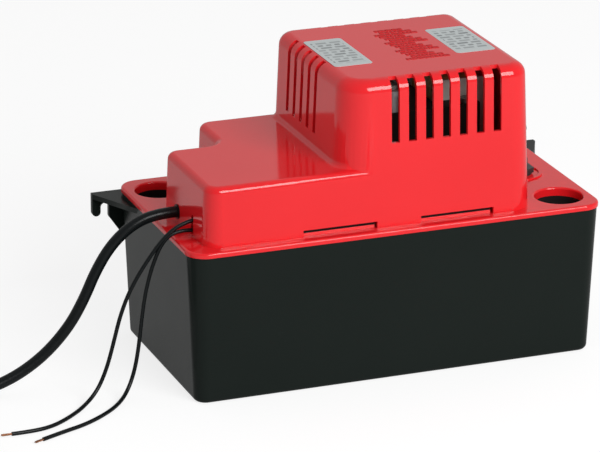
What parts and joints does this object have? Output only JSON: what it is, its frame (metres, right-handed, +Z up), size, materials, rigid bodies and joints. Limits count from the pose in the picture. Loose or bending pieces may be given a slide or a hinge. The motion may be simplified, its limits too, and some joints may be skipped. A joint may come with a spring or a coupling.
{
  "type": "condensate pump",
  "caption": "Condensate pump: red vented motor housing on a red cover with three inlet holes, over a black tank with two hanging ears, with a power cord, plug and two bare safety leads.",
  "frame": {"origin": "centre of the tank's underside", "axes": "+X along the tank towards the discharge valve, +Y towards the wall side with the hanging ears, +Z up along the motor shaft"},
  "size_m": [0.5756, 0.1717, 0.1762],
  "materials": {
    "black_tank_plastic": "satin moulded polypropylene",
    "red_housing_plastic": "gloss moulded plastic",
    "lamination_steel": "stacked electrical steel, varnished",
    "copper": "bare copper",
    "coil_tape": "coil wrapping tape",
    "white_plastic": "natural nylon",
    "cast_zinc": "cast zinc",
    "bronze": "sintered bronze",
    "zinc_steel": "zinc plated steel",
    "stainless": "stainless steel",
    "pump_plastic": "moulded pump plastic",
    "valve_plastic": "moulded valve plastic",
    "seal_rubber": "soft rubber",
    "float_foam": "closed cell foam",
    "switch_plastic": "switch case",
    "plunger_red": "switch button",
    "cord_rubber": "rubber cord jacket",
    "plug_brass": "plated brass"
  },
  "bodies": {
    "root": {"tank": "black_tank_plastic", "cover_plate": "red_housing_plastic", "motor_housing": "red_housing_plastic", "stator_laminations": "lamination_steel", "shading_rings": "copper", "coil_bobbin": "white_plastic", "coil_winding": "coil_tape", "lower_bearing_bracket": "cast_zinc", "upper_bearing_bracket": "cast_zinc", "shaft_bearings": "bronze", "motor_screws": "zinc_steel", "pump_column": "pump_plastic", "column_screws": "stainless", "pump_volute": "pump_plastic", "suction_plate": "pump_plastic", "volute_screws": "stainless", "discharge_pipe": "pump_plastic", "check_valve_body": "valve_plastic", "check_valve_seal": "seal_rubber", "lever_pin": "stainless", "switch_bracket": "zinc_steel", "bracket_screws": "zinc_steel", "pump_switch": "switch_plastic", "safety_switch": "switch_plastic", "switch_screws": "zinc_steel", "strain_relief": "cord_rubber", "lead_grommet": "seal_rubber", "power_cord": "cord_rubber", "power_cord_coil": "cord_rubber", "power_cord_end": "cord_rubber", "power_plug": "cord_rubber", "plug_blades": "plug_brass", "plug_ground_pin": "plug_brass", "safety_lead_upper": "cord_rubber", "safety_lead_lower": "cord_rubber", "lead_strands": "copper"},
    "rotor": {"rotor_core": "lamination_steel", "motor_shaft": "stainless", "cooling_fan": "white_plastic", "water_slinger": "seal_rubber", "pump_impeller": "pump_plastic"},
    "float_assembly": {"float": "float_foam", "float_rod": "stainless", "float_collars": "white_plastic"},
    "switch_lever": {"float_lever": "white_plastic"},
    "pump_button": {"pump_switch_plunger": "plunger_red"},
    "safety_button": {"safety_switch_plunger": "plunger_red"},
    "valve_poppet": {"check_valve_poppet": "seal_rubber"}
  },
  "joints": [
    {"name": "rotor_spin", "type": "hinge", "parent": "root", "child": "rotor", "pos_m": [0.01, 0, 0.1], "axis": [0, 0, 1], "continuous": true},
    {"name": "float_slide", "type": "slide", "parent": "root", "child": "float_assembly", "axis": [0, 0, 1], "range_m": [0, 0.018]},
    {"name": "lever_hinge", "type": "hinge", "parent": "root", "child": "switch_lever", "pos_m": [-0.038, 0, 0.098], "axis": [0, 1, 0], "range_deg": [0, 32.49]},
    {"name": "pump_button_slide", "type": "slide", "parent": "root", "child": "pump_button", "axis": [1, 0, 0], "range_m": [0, 0.00156]},
    {"name": "safety_button_slide", "type": "slide", "parent": "root", "child": "safety_button", "axis": [1, 0, 0], "range_m": [0, 0.00156]},
    {"name": "poppet_slide", "type": "slide", "parent": "root", "child": "valve_poppet", "axis": [0, 0, 1], "range_m": [0, 0.004]}
  ],
  "couplings": [
    {"joint": "lever_hinge", "follows": "float_slide", "rad_per_m": 31.5},
    {"joint": "pump_button_slide", "follows": "float_slide", "ratio": 0.0865},
    {"joint": "safety_button_slide", "follows": "float_slide", "ratio": 0.0865}
  ]
}
